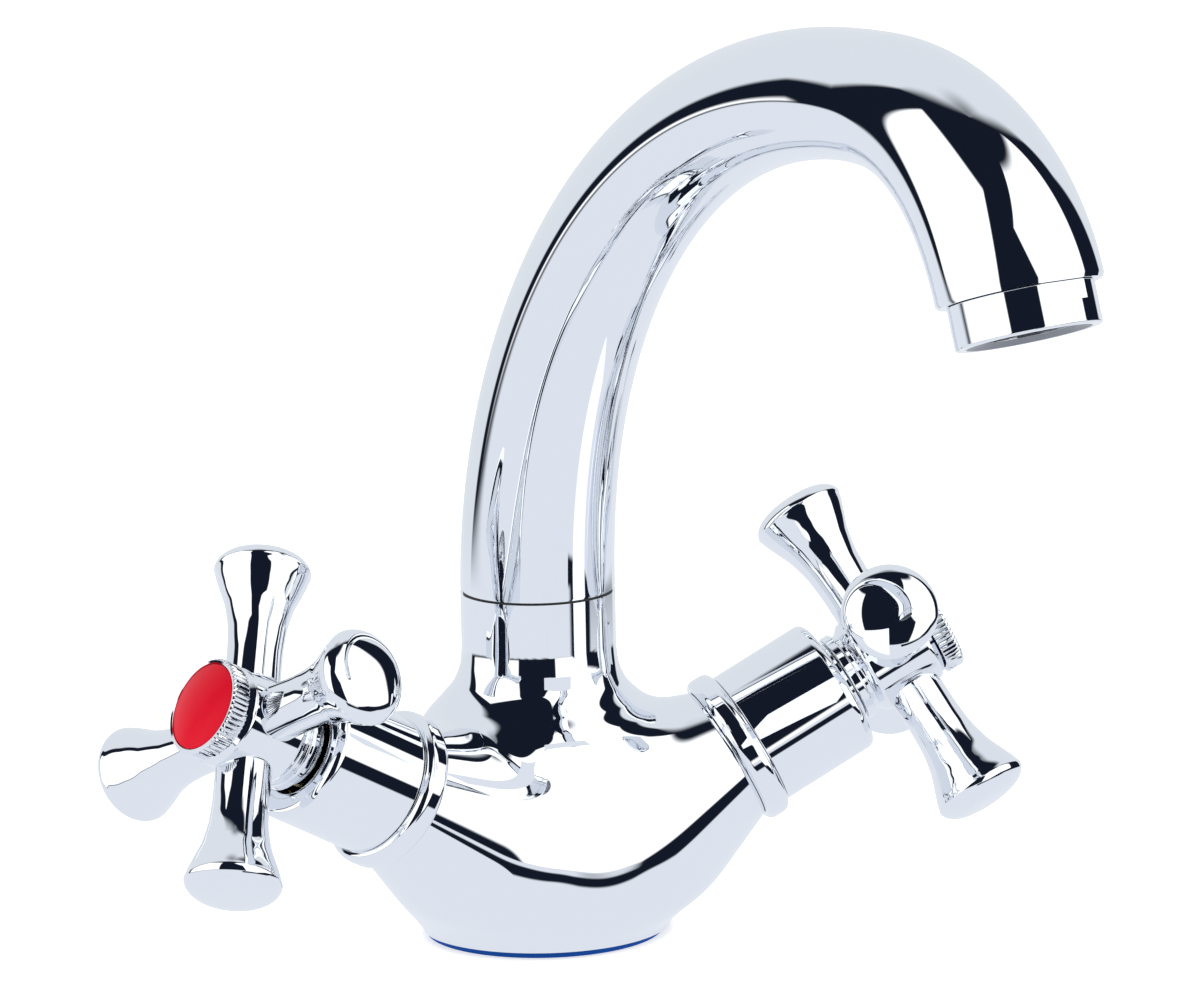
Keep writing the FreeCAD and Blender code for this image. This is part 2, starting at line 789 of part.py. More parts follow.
def build_spokes(name, side, cross_angle):
    """Spoke: spigot in the hub, slim neck, trumpet flare and domed end."""
    root = dim("spoke_seat") + dim("spoke_seat_gap")
    rim = dim("spoke_rim")
    rim_top = rim + dim("spoke_rim_height")
    spigot = dim("spoke_spigot_radius")
    tip = dim("spoke_spigot_start") + dim("spoke_seat_gap")
    for number, spoke in enumerate(SPOKES):
        label = "%s_spoke_%s" % (name, spoke)
        outline = [
            (ZERO, tip),
            (spigot, tip),
            (spigot, root),
            (dim("spoke_neck_radius"), root),
            (dim("spoke_waist_radius"), dim("spoke_waist"), -dim("spoke_flare_radius")),
            (dim("spoke_rim_radius"), rim),
            (dim("spoke_rim_radius"), rim_top, AXIS),
            (ZERO, rim_top + dim("spoke_dome_height")),
        ]
        place = spoke_placement(side, cross_angle + QUARTER * number)
        nodes[label] = turned(label, outline, place)


def build_cap(name, frame):
    """Serrated ring, domed index and the screw under it."""
    label = name + "_cap_ring"
    ring_start = dim("hub_end") + dim("cap_ring_lift")
    ring_end = dim("cap_ring_end")
    ring = turned(label, tube_outline(dim("cap_ring_bore"), dim("cap_ring_radius"), ring_start, ring_end))
    notch = new_sketch(ring, label + "_notch", "XY_Plane")
    half = dim("cap_groove_width") * 0.5
    inner = dim("cap_ring_radius") - dim("cap_groove_depth")
    outer = dim("cap_ring_radius") + OVERRUN
    outline_sketch(notch, [(inner, -half), (outer, -half), (outer, half), (inner, half)])
    groove = ring.newObject("PartDesign::Pocket", label + "_groove")
    groove.Profile = notch
    groove.Type = "Length"
    groove.Reversed = True
    bind(groove, "Length", ring_end + OVERRUN)
    pattern = ring.newObject("PartDesign::PolarPattern", label + "_grooves")
    pattern.Originals = [groove]
    pattern.Axis = (origin_feature(ring, "Z_Axis"), [""])
    pattern.Angle = 360.0
    pattern.Occurrences = CAP_GROOVES
    ring.Tip = pattern
    ring.Placement = frame
    nodes[label] = ring

    label = name + "_index"
    foot = dim("cap_ring_end") - dim("index_height")
    outline = [
        (ZERO, foot),
        (dim("index_radius"), foot),
        (dim("index_radius"), dim("cap_ring_end"), AXIS),
        (ZERO, dim("cap_ring_end") + dim("index_dome_height")),
    ]
    nodes[label] = turned(label, outline, frame)

    label = name + "_handle_screw"
    head_low = screw_seat
    head_high = head_low + dim("screw_head_height")
    tip = dim("spindle_end") - dim("screw_length") + dim("screw_tip_gap")
    shank = turned(
        label + "_shank",
        [
            (ZERO, tip),
            (dim("screw_radius"), tip),
            (dim("screw_radius"), head_low),
            (dim("screw_head_radius"), head_low),
            (dim("screw_head_radius"), head_high),
            (ZERO, head_high),
        ],
    )
    depth = dim("screw_socket_depth")
    corner = (0, 0, head_high.value - depth.value)
    socket = hexagon(label + "_socket", dim("screw_socket"), depth + OVERRUN, corner)
    nodes[label] = cut(label, shank, [socket], frame)


# ---------------------------------------------------------------------------------------------
# Spout
# ---------------------------------------------------------------------------------------------

turn_angle = math.radians(dim("spout_turn").value)
outward = FreeCAD.Vector(math.sin(turn_angle), -math.cos(turn_angle), 0)
rise_span = math.radians(dim("spout_rise_angle").value)
drop_span = math.radians(dim("spout_drop_angle").value)
rise_length = dim("spout_rise_radius").value * rise_span
spout_length = rise_length + dim("spout_drop_radius").value * drop_span


def spout_point(distance):
    """Point and direction of the spout's centre line at a distance from its foot."""
    rise_radius = dim("spout_rise_radius").value
    drop_radius = dim("spout_drop_radius").value
    foot = FreeCAD.Vector(0, 0, dim("spout_start").value)
    up = FreeCAD.Vector(0, 0, 1)
    angle = min(distance / rise_radius, rise_span)
    centre = foot + outward * rise_radius
    radius = rise_radius
    if distance > rise_length:
        inward = outward * math.cos(rise_span) - up * math.sin(rise_span)
        centre = centre - inward * (rise_radius - drop_radius)
        radius = drop_radius
        angle = rise_span + (distance - rise_length) / drop_radius
    inward = outward * math.cos(angle) - up * math.sin(angle)
    direction = up * math.cos(angle) + outward * math.sin(angle)
    return centre - inward * radius, direction


def spout_section_radius(distance):
    """Foot radius easing to the waist and out again to the mouth."""
    fraction = distance / spout_length
    waist_at = dim("spout_waist_at").value
    waist = dim("spout_waist_radius")
    if fraction < waist_at:
        blend = 0.5 - 0.5 * math.cos(math.pi * fraction / waist_at)
        foot = dim("collar_radius")
        return foot + (waist - foot) * blend ** dim("spout_taper_power").value
    blend = 0.5 - 0.5 * math.cos(math.pi * (fraction - waist_at) / (1 - waist_at))
    return waist + (dim("spout_mouth_radius") - waist) * blend


def section_frame(distance):
    """Placement with +Z along the spout and +X away from the arc's centre."""
    point, direction = spout_point(distance)
    sideways = FreeCAD.Vector(0, 0, 1).cross(outward)
    outer = direction.cross(sideways)
    return FreeCAD.Placement(point, FreeCAD.Rotation(-outer, -sideways, direction, "ZXY"))


def swept(label, start, end, inset):
    """Loft through circles along the spout between two distances."""
    rings = []
    for number in range(SPOUT_STATIONS + 1):
        distance = start + (end - start) * number / SPOUT_STATIONS
        ring = doc.addObject("Part::Circle", "%s_ring_%d" % (label, number))
        bind(ring, "Radius", spout_section_radius(distance) - inset)
        ring.Placement = section_frame(distance)
        rings.append(ring)
    loft = doc.addObject("Part::Loft", label)
    loft.Sections = rings
    loft.Solid = True
    loft.Ruled = False
    return loft


def build_spout():
    outside = swept("spout_outside", 0.0, spout_length, ZERO)
    foot = dim("spout_foot_length").value
    mouth = spout_length - dim("spout_mouth_length").value
    inside = swept("spout_inside", foot, mouth, dim("spout_wall"))
    tail_depth = dim("spout_foot_length") + OVERRUN * 2
    below_foot = upright(0, 0, dim("spout_start").value - OVERRUN)
    tail_hole = cylinder("spout_tail_hole", dim("tail_spigot_radius"), tail_depth, below_foot)
    mouth_depth = dim("spout_mouth_length") + OVERRUN
    in_mouth = section_frame(spout_length).multiply(upright(0, 0, -mouth_depth.value))
    mouth_hole = cylinder("spout_mouth_hole", dim("mouth_thread_radius"), mouth_depth + OVERRUN, in_mouth)
    nodes["spout_tube"] = cut("spout_tube", outside, [inside, tail_hole, mouth_hole])

    start = dim("spout_start")
    section = dim("tail_seal_section")
    seal_radius = dim("tail_radius") - section
    seal_depth = dim("tail_seal_depth")
    upper = start - dim("tail_upper_seal_below")
    lower = start - dim("tail_lower_seal_below")
    ring_low = start - dim("split_ring_below")
    ring_high = ring_low + dim("split_ring_height")
    ring_depth = dim("split_ring_width") + dim("split_ring_play")
    water_way = dim("tail_water_way")
    tail_floor = start - dim("tail_length")
    spigot = dim("tail_spigot_radius") - dim("running_gap")
    spigot_end = start + dim("spout_foot_length") - dim("tail_spigot_end_gap")
    outline = [(water_way, tail_floor), (dim("tail_radius"), tail_floor)]
    for low, high, depth in (
        (ring_low, ring_high, ring_depth),
        (lower - section, lower + section, seal_depth),
        (upper - section, upper + section, seal_depth),
    ):
        outline += [
            (dim("tail_radius"), low),
            (dim("tail_radius") - depth, low),
            (dim("tail_radius") - depth, high),
            (dim("tail_radius"), high),
        ]
    outline += [
        (dim("tail_radius"), start - dim("tail_lift")),
        (spigot, start - dim("tail_lift")),
        (spigot, spigot_end),
        (water_way, spigot_end),
    ]
    nodes["spout_tail"] = turned("spout_tail", outline)
    nodes["spout_upper_seal"] = torus("spout_upper_seal", seal_radius, section, upper)
    nodes["spout_lower_seal"] = torus("spout_lower_seal", seal_radius, section, lower)
    play = dim("split_ring_play")
    split_inner = dim("tail_radius") - dim("split_ring_width")
    split = tube_outline(split_inner, dim("tail_radius"), ring_low + play, ring_high - play)
    split_angle = dim("split_ring_angle").value
    nodes["spout_split_ring"] = turned("spout_split_ring", split, angle=split_angle)
    low = dim("collar_height")
    high = low + dim("glide_ring_height")
    glide = tube_outline(dim("glide_ring_bore"), dim("glide_ring_radius"), low, high)
    nodes["spout_glide_ring"] = turned("spout_glide_ring", glide)


def build_aerator():
    """Outlet parts in a frame whose +Z runs out of the spout's mouth."""
    frame = section_frame(spout_length)
    thread = dim("mouth_thread_radius") - dim("running_gap")
    length = dim("housing_length")
    bore = dim("housing_bore")
    lip = length - dim("housing_lip")
    edge = dim("housing_edge")
    lift = dim("housing_lift")
    blank = turned(
        "aerator_housing_blank",
        [
            (bore, -dim("housing_thread_length")),
            (thread, -dim("housing_thread_length")),
            (thread, lift),
            (dim("housing_radius"), lift),
            (dim("housing_radius"), length - edge),
            (dim("housing_radius") - edge, length),
            (dim("housing_rim_bore"), length),
            (dim("housing_lip_radius"), lip + dim("housing_rim_edge")),
            (dim("housing_lip_radius"), lip),
            (bore, lip),
        ],
    )
    flats = []
    depth = dim("housing_flat_height")
    thickness = dim("housing_radius") - dim("housing_flat") + OVERRUN
    width = dim("housing_radius") * 2
    for name, low_x in (
        ("inner", -dim("housing_flat").value - thickness.value),
        ("outer", dim("housing_flat").value),
    ):
        corner = (low_x, -width.value / 2, lift.value - OVERRUN)
        flats.append(box("aerator_flat_" + name, thickness, width, depth + OVERRUN, corner))
    nodes["aerator_housing"] = cut("aerator_housing", blank, flats, frame)

    screen_low = lip - dim("screen_height")
    insert_low = screen_low - dim("insert_height")
    insert_radius = bore - dim("running_gap")
    insert = turned("aerator_insert", rod_outline(insert_radius, insert_low, screen_low))
    hole = new_sketch(insert, "aerator_jet", "XY_Plane")
    centre = FreeCAD.Vector(dim("insert_hole_circle").value, 0, 0)
    circle = Part.Circle(centre, FreeCAD.Vector(0, 0, 1), dim("insert_hole_radius").value)
    ring = hole.addGeometry(circle, False)
    size = hole.addConstraint(Sketcher.Constraint("Radius", ring, dim("insert_hole_radius").value))
    hole.setExpression("Constraints[%d]" % size, dim("insert_hole_radius").text)
    pin_vertex(hole, ring, 3, (dim("insert_hole_circle"), ZERO))
    jet = insert.newObject("PartDesign::Pocket", "aerator_jet_hole")
    jet.Profile = hole
    jet.Midplane = True
    bind(jet, "Length", dim("insert_height") * 4)
    pattern = insert.newObject("PartDesign::PolarPattern", "aerator_jets")
    pattern.Originals = [jet]
    pattern.Axis = (origin_feature(insert, "Z_Axis"), [""])
    pattern.Angle = 360.0
    pattern.Occurrences = INSERT_HOLES
    insert.Tip = pattern
    insert.Placement = frame
    nodes["aerator_insert"] = insert

    rim_width = dim("screen_rim")
    rim = turned("screen_rim", tube_outline(insert_radius - rim_width, insert_radius, screen_low, lip))
    parts = [rim]
    reach = insert_radius - rim_width * 0.5
    for number in range(SCREEN_BARS):
        offset = (number - (SCREEN_BARS - 1) / 2) * dim("screen_pitch").value
        half = math.sqrt(reach.value ** 2 - offset ** 2)
        bar = dim("screen_bar")
        across = (offset - bar.value / 2, -half, screen_low.value)
        along = (-half, offset - bar.value / 2, screen_low.value)
        height = dim("screen_height")
        parts.append(box("screen_across_%d" % number, bar, as_measure(2 * half), height, across))
        parts.append(box("screen_along_%d" % number, as_measure(2 * half), bar, height, along))
    nodes["aerator_screen"] = fused("aerator_screen", parts, frame)

    washer_high = -dim("housing_thread_length")
    washer_low = washer_high - dim("washer_height")
    washer_bore = bore - dim("washer_overlap")
    washer = tube_outline(washer_bore, thread - dim("washer_play"), washer_low, washer_high)
    nodes["aerator_washer"] = turned("aerator_washer", washer, frame)


build_body()
build_gasket()
for side_name, side_sign in SIDES.items():
    arm = arm_placement(side_sign)
    rest_angle = dim(side_name + "_cross_angle").value
    build_headwork(side_name, arm)
    build_seals(side_name, arm)
    build_trim(side_name, arm)
    disc(side_name + "_fixed_disc", seal_top, arm, FIXED_PORT_ANGLE, False)
    disc(side_name + "_turning_disc", turning_disc_low, arm, CLOSED_PORT_ANGLE, True)
    build_spindle(side_name, arm)
    build_hub(side_name, side_sign, rest_angle, arm)
    build_spokes(side_name, side_sign, rest_angle)
    build_cap(side_name, arm)
build_spout()
build_aerator()
doc.recompute()

for item in doc.Objects:
    for state in item.State:
        if state in ("Invalid", "Error"):
            raise RuntimeError("%s is %s" % (item.Name, state))

os.makedirs("parts", exist_ok=True)
for name, item in sorted(nodes.items()):
    shape = item.Shape
    if shape.isNull() or not shape.isValid() or len(shape.Solids) != 1:
        raise RuntimeError("%s has no single valid solid (%d)" % (name, len(shape.Solids)))
    shape.exportStep("parts/%s.step" % name)
print("%d nodes written" % len(nodes))
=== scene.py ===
import json
import math

import bmesh
import bpy
import numpy as np
from mathutils import Matrix, Vector


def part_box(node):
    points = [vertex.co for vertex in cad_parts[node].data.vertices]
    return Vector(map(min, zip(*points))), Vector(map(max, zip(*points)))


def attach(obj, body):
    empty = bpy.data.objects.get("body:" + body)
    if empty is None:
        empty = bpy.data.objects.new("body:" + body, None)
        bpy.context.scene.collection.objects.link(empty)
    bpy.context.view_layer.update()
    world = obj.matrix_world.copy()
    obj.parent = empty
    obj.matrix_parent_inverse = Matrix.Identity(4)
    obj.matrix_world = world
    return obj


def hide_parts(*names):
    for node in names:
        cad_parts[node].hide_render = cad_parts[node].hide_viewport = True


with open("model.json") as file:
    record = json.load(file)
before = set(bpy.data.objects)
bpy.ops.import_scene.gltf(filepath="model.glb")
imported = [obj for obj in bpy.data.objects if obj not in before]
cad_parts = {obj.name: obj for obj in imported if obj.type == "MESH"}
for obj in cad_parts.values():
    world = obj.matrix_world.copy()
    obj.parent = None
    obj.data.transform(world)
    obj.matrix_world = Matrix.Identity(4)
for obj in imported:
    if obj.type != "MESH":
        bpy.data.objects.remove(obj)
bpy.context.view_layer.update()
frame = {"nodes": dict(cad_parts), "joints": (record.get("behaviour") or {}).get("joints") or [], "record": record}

MM = 0.001
SIDES = ("hot", "cold")
SPOKES = ("up", "front", "down", "back")
UP = (0.0, 0.0, 1.0)
TURN_STEPS = 160
FILLET_STEPS = 8


# ------------------------------------------------------------------------------------------
# Measuring the frame (metres)
# ------------------------------------------------------------------------------------------

joints = {joint["name"]: joint for joint in frame["joints"]}


def vertices_of(node):
    mesh = frame["nodes"][node].data
    points = np.zeros(len(mesh.vertices) * 3)
    mesh.vertices.foreach_get("co", points)
    return points.reshape(-1, 3)


class Axis:
    """A line in the frame with two directions across it; `side` is its reference direction."""

    def __init__(self, origin, direction, side):
        self.origin = np.array(origin, float)
        self.axis = np.array(direction, float) / np.linalg.norm(direction)
        across = np.array(side, float) - self.axis * np.dot(side, self.axis)
        self.side = across / np.linalg.norm(across)
        self.third = np.cross(self.axis, self.side)

    def matrix(self, along=0.0):
        """Placement whose Z runs along the axis and whose X is the reference direction."""
        columns = np.column_stack((self.side, self.third, self.axis))
        turned = Matrix(columns.tolist()).to_4x4()
        turned.translation = Vector(self.origin + self.axis * along)
        return turned

    def span(self, *nodes):
        """(lowest, highest) distance along the axis and (smallest, largest) distance from it."""
        points = np.concatenate([vertices_of(node) for node in nodes]) - self.origin
        along = points @ self.axis
        away = np.linalg.norm(points - along[:, None] * self.axis, axis=1)
        return along.min(), along.max(), away.min(), away.max()


swivel = Axis(joints["spout_swivel"]["pos_m"], UP, (1, 0, 0))
swivel.origin[2] = 0.0


def arm_axis(name):
    """The handle's turning axis, measured from its nearest point to the swivel axis."""
    joint = joints[name + "_turn"]
    point = np.array(joint["pos_m"])
    direction = np.array(joint["axis"]) / np.linalg.norm(joint["axis"])
    back = point[0] / direction[0]
    return Axis(point - direction * back, direction, UP)


arms = {name: arm_axis(name) for name in SIDES}


# ------------------------------------------------------------------------------------------
# Materials
# ------------------------------------------------------------------------------------------


def node_material(name, color, metallic=0.0, roughness=0.4, smudge=0.02, scale=60.0):
    """Principled surface whose roughness varies with a fine procedural noise."""
    material = bpy.data.materials.new(name)
    material.use_nodes = True
    tree = material.node_tree
    shader = tree.nodes["Principled BSDF"]
    shader.inputs["Base Color"].default_value = (*color, 1.0)
    shader.inputs["Metallic"].default_value = metallic
    place = tree.nodes.new("ShaderNodeTexCoord")
    noise = tree.nodes.new("ShaderNodeTexNoise")
    noise.inputs["Scale"].default_value = scale
    noise.inputs["Detail"].default_value = 3.0
    tree.links.new(place.outputs["Object"], noise.inputs["Vector"])
    spread = tree.nodes.new("ShaderNodeMapRange")
    spread.inputs["To Min"].default_value = max(roughness - smudge, 0.0)
    spread.inputs["To Max"].default_value = roughness + smudge
    tree.links.new(noise.outputs["Fac"], spread.inputs["Value"])
    tree.links.new(spread.outputs["Result"], shader.inputs["Roughness"])
    return material


materials = {
    "chrome": node_material("chrome", (0.86, 0.885, 0.925), 1.0, 0.02, 0.01),
    "brass": node_material("brass", (0.78, 0.60, 0.30), 1.0, 0.25, 0.08, 400.0),
    "ceramic": node_material("ceramic", (0.93, 0.92, 0.88), 0.0, 0.2, 0.05),
    "seal_rubber": node_material("seal_rubber", (0.02, 0.02, 0.02), 0.0, 0.55, 0.1, 900.0),
    "blue_gasket": node_material("blue_gasket", (0.004, 0.085, 0.42), 0.0, 0.5, 0.08, 900.0),
    "white_plastic": node_material("white_plastic", (0.88, 0.88, 0.86), 0.0, 0.4, 0.05),
    "red_index": node_material("red_index", (0.86, 0.0005, 0.022), 0.0, 0.3, 0.04),
    "blue_index": node_material("blue_index", (0.002, 0.05, 0.62), 0.0, 0.3, 0.04),
    "stainless": node_material("stainless", (0.22, 0.23, 0.26), 1.0, 0.3, 0.08, 700.0),
}
for slot, shine in (("red_index", 0.12), ("blue_index", 0.12), ("blue_gasket", 0.1)):
    materials[slot].node_tree.nodes["Principled BSDF"].inputs["Specular IOR Level"].default_value = shine
slots = {part["node"]: part["material_slot"] for part in frame["record"]["subparts"]}
for node, cad in frame["nodes"].items():
    cad.data.materials.clear()
    cad.data.materials.append(materials[slots[node]])


# ------------------------------------------------------------------------------------------
# Mesh building
# ------------------------------------------------------------------------------------------


def build_mesh(name, points, faces, normals=None):
    mesh = bpy.data.meshes.new(name)
    mesh.from_pydata([tuple(point) for point in points], [], faces)
    mesh.polygons.foreach_set("use_smooth", [True] * len(mesh.polygons))
    mesh.update()
    if normals is not None:
        mesh.normals_split_custom_set_from_vertices([tuple(normal) for normal in normals])
    made = bpy.data.objects.new(name, mesh)
    bpy.context.scene.collection.objects.link(made)
    return made


def grid_faces(rows, columns, closed_rows=False):
    """Quads of a grid whose columns wrap round; rows wrap too when closed_rows is set."""
    faces = []
    for row in range(rows if closed_rows else rows - 1):
        below = row * columns
        above = ((row + 1) % rows) * columns
        for column in range(columns):
            beside = (column + 1) % columns
            faces.append((below + column, below + beside, above + beside, above + column))
    return faces


def fillet(before, corner, after, radius):
    """Points and normals of a rounded corner between two straight runs of a profile."""
    incoming = corner - before
    outgoing = after - corner
    first = incoming / np.linalg.norm(incoming)
    last = outgoing / np.linalg.norm(outgoing)
    turn = math.atan2(first[0] * last[1] - first[1] * last[0], float(first @ last))
    if abs(turn) < 1e-4:
        return [corner], [np.array((first[1], -first[0]))]
    room = 0.48 * min(np.linalg.norm(incoming), np.linalg.norm(outgoing))
    cut = min(radius * math.tan(abs(turn) / 2), room)
    radius = cut / math.tan(abs(turn) / 2)
    start = corner - first * cut
    left = np.array((-first[1], first[0])) * math.copysign(1.0, turn)
    centre = start + left * radius
    points, normals = [], []
    for step in range(FILLET_STEPS + 1):
        angle = turn * step / FILLET_STEPS
        cosine, sine = math.cos(angle), math.sin(angle)
        spoke = start - centre
        arm = np.array((spoke[0] * cosine - spoke[1] * sine, spoke[0] * sine + spoke[1] * cosine))
        points.append(centre + arm)
        heading = np.array((first[0] * cosine - first[1] * sine, first[0] * sine + first[1] * cosine))
        normals.append(np.array((heading[1], -heading[0])))
    return points, normals


def profile_points(profile, closed):
    """Dense (radius, height) points and outward normals from (radius, height, rounding) corners.

    A rounding of None marks a point of a smooth curve. The profile runs with its material on the
    left, so the outward normal is on the right.
    """
    corners = [np.array(entry[:2], float) for entry in profile]
    count = len(corners)
    points, normals = [], []
    for index, entry in enumerate(profile):
        corner = corners[index]
        before = corners[index - 1] if closed or index > 0 else None
        after = corners[(index + 1) % count] if closed or index < count - 1 else None
        if before is None or after is None or entry[2] is None:
            heading = (corner if after is None else after) - (corner if before is None else before)
            heading = heading / np.linalg.norm(heading)
            points.append(corner)
            normals.append(np.array((heading[1], -heading[0])))
            continue
        rounded, facing = fillet(before, corner, after, entry[2])
        points.extend(rounded)
        normals.extend(facing)
    return np.array(points), np.array(normals)


def lathe(name, profile, matrix, closed=True, steps=TURN_STEPS):
    """Surface of revolution about the matrix's Z; lengths in millimetres."""
    points, normals = profile_points(profile, closed)
    angles = np.arange(steps) * 2 * math.pi / steps
    cosine, sine = np.cos(angles), np.sin(angles)
    place = np.empty((len(points), steps, 3))
    facing = np.empty_like(place)
    for target, source in ((place, points), (facing, normals)):
        target[..., 0] = source[:, :1] * cosine
        target[..., 1] = source[:, :1] * sine
        target[..., 2] = source[:, 1:]
    place = place.reshape(-1, 3) * MM
    facing = facing.reshape(-1, 3)
    rotation = np.array(matrix.to_3x3())
    place = place @ rotation.T + np.array(matrix.translation)
    facing = facing @ rotation.T
    return build_mesh(name, place, grid_faces(len(points), steps, closed), facing)


def finish_piece(piece, body, node, slot=None):
    """Give a piece its material and body, and hide the CAD node it stands for."""
    slot = slot or slots[node]
    piece.data.materials.clear()
    piece.data.materials.append(materials[slot])
    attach(piece, body)
    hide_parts(node)
    return piece


# ------------------------------------------------------------------------------------------
# Body casting
# ------------------------------------------------------------------------------------------

gasket_low, gasket_high = (corner.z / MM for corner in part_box("base_gasket"))
collar_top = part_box("body_casting")[1].z / MM
base_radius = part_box("base_gasket")[1].x / MM + 0.2
collar_radius = 16.3
arm_root_radius = 26.0
arm_taper_start = 16.5
arm_end_radius = 15.0
arm_face = {name: arms[name].span(name + "_bonnet_ring")[0] / MM - 0.12 for name in SIDES}
BLEND = 7.0
KNEE = 5.0
# (height, radius) of the casting without its arms
BELL = (
    (gasket_high, base_radius), (3.0, 26.0), (5.5, 26.8), (9.5, 27.4), (16.9, 27.85), (24.9, 27.95),
    (34.9, 27.6), (40.9, 26.7), (44.9, 25.5), (47.4, 23.9), (50.4, 21.2), (54.4, 18.0), (58.4, 16.6),
    (62.4, 16.3), (65.9, collar_radius), (collar_top + 8.0, collar_radius),
)


def smooth_curve(knots, values, at):
    """Monotone cubic through (knot, value) pairs, held constant outside them."""
    knots = np.array(knots)
    values = np.array(values)
    gaps = np.diff(knots)
    rates = np.diff(values) / gaps
    slopes = np.zeros_like(values)
    same = rates[1:] * rates[:-1] > 0
    slopes[1:-1][same] = 2 * rates[1:][same] * rates[:-1][same] / (rates[1:] + rates[:-1])[same]
    slopes[0], slopes[-1] = rates[0], rates[-1]
    at = np.clip(at, knots[0], knots[-1])
    cell = np.clip(np.searchsorted(knots, at) - 1, 0, len(gaps) - 1)
    part = (at - knots[cell]) / gaps[cell]
    low, high = values[cell], values[cell + 1]
    start, end = slopes[cell] * gaps[cell], slopes[cell + 1] * gaps[cell]
    cubic = 2 * low - 2 * high + start + end
    square = -3 * low + 3 * high - 2 * start - end
    return ((cubic * part + square) * part + start) * part + low


def blended(first, second, width):
    """Smooth union of two signed distances."""
    near = np.maximum(width - np.abs(first - second), 0.0) / width
    return np.minimum(first, second) - near ** 3 * width / 6.0


def body_distance(points):
    """Signed distance (millimetres, negative inside) of the casting's outer skin."""
    height = points[..., 2]
    away = np.hypot(points[..., 0], points[..., 1])
    heights, radii = zip(*BELL)
    bell = (away - smooth_curve(heights, radii, height)) * 0.9
    sides = []
    slant = (arm_root_radius - arm_end_radius) / (arm_face["hot"] - arm_taper_start)
    for name in SIDES:
        arm = arms[name]
        offset = points - arm.origin / MM
        along = offset @ arm.axis
        across = np.linalg.norm(offset - along[..., None] * arm.axis, axis=-1)
        tapered = (across - arm_end_radius - slant * (arm_face[name] - along)) / math.hypot(1.0, slant)
        root = np.hypot(np.maximum(-along, 0.0), across) - arm_root_radius
        sides.append(-blended(-tapered, -root, KNEE))
    arms_together = blended(sides[0], sides[1], BLEND)
    foot = (away - base_radius - np.maximum(height - gasket_high - 1.0, 0.0) * 1.6) * 0.55
    arms_together = -blended(-arms_together, -foot, 3.0)
    return blended(bell, arms_together, BLEND)


def skin_of_body():
    """Star-shaped surface seen from a point inside the casting, trimmed flat at its openings."""
    centre = np.array((0.0, arms["hot"].origin[1] / MM, 22.9))
    rows, columns = 420, 640
    polar = np.linspace(0.001, math.pi - 0.001, rows)
    round_angle = np.arange(columns) * 2 * math.pi / columns
    rays = np.empty((rows, columns, 3))
    rays[..., 0] = np.sin(polar)[:, None] * np.cos(round_angle)
    rays[..., 1] = np.sin(polar)[:, None] * np.sin(round_angle)
    rays[..., 2] = np.cos(polar)[:, None]
    near = np.zeros((rows, columns))
    far = np.full((rows, columns), 75.0)
    for _ in range(42):
        middle = (near + far) / 2
        inside = body_distance(centre + rays * middle[..., None]) < 0
        near = np.where(inside, middle, near)
        far = np.where(inside, far, middle)
    points = centre + rays * ((near + far) / 2)[..., None]
    mesh = bpy.data.meshes.new("body_skin")
    faces = [tuple(reversed(face)) for face in grid_faces(rows, columns)]
    mesh.from_pydata((points.reshape(-1, 3) * MM).tolist(), [], faces)
    work = bmesh.new()
    work.from_mesh(mesh)
    cuts = [((0, 0, gasket_high), (0, 0, -1)), ((0, 0, collar_top), (0, 0, 1))]
    for name in SIDES:
        arm = arms[name]
        cuts.append((arm.origin / MM + arm.axis * arm_face[name], arm.axis))
    for point, outwards in cuts:
        everything = work.verts[:] + work.edges[:] + work.faces[:]
        bmesh.ops.bisect_plane(
            work,
            geom=everything,
            plane_co=Vector(np.array(point) * MM),
            plane_no=Vector(outwards),
            clear_outer=True,
        )
    work.to_mesh(mesh)
    work.free()
    return mesh


def gradient_normals(points):
    """Unit gradients of the casting's distance at points in millimetres."""
    step = 0.02
    parts = []
    for axis in np.eye(3) * step:
        parts.append(body_distance(points + axis) - body_distance(points - axis))
    slope = np.stack(parts, axis=-1)
    return slope / np.linalg.norm(slope, axis=-1, keepdims=True)


def make_body():
    mesh = skin_of_body()
    points = np.zeros(len(mesh.vertices) * 3)
    mesh.vertices.foreach_get("co", points)
    normals = gradient_normals(points.reshape(-1, 3) / MM)
    mesh.polygons.foreach_set("use_smooth", [True] * len(mesh.polygons))
    mesh.update()
    mesh.normals_split_custom_set_from_vertices(normals.tolist())
    skin = bpy.data.objects.new("body_skin", mesh)
    bpy.context.scene.collection.objects.link(skin)
    finish_piece(skin, "base", "body_casting")
    for name in SIDES:
        arm = arms[name]
        face = arm_face[name]
        valve_bore = 10.3
        end = [(arm_end_radius + 0.02, face, None), (valve_bore, face, 0.2), (valve_bore, 23.0, None)]
        finish_piece(lathe(name + "_arm_mouth", end, arm.matrix(), closed=False), "base", "body_casting")
    bore, bore_floor = 11.5, 52.9
    collar = [
        (collar_radius + 0.02, collar_top, None),
        (bore, collar_top, 0.2),
        (bore, bore_floor, 0.1),
        (0.5, bore_floor, None),
    ]
    finish_piece(lathe("collar_mouth", collar, swivel.matrix(), closed=False), "base", "body_casting")
    floor = [(bore, gasket_high, None), (base_radius, gasket_high, None)]
    finish_piece(lathe("body_floor", floor, swivel.matrix(), closed=False), "base", "body_casting")


make_body()


# ------------------------------------------------------------------------------------------
# Trim ring, sleeve, hub, cap and spokes of one side
# ------------------------------------------------------------------------------------------


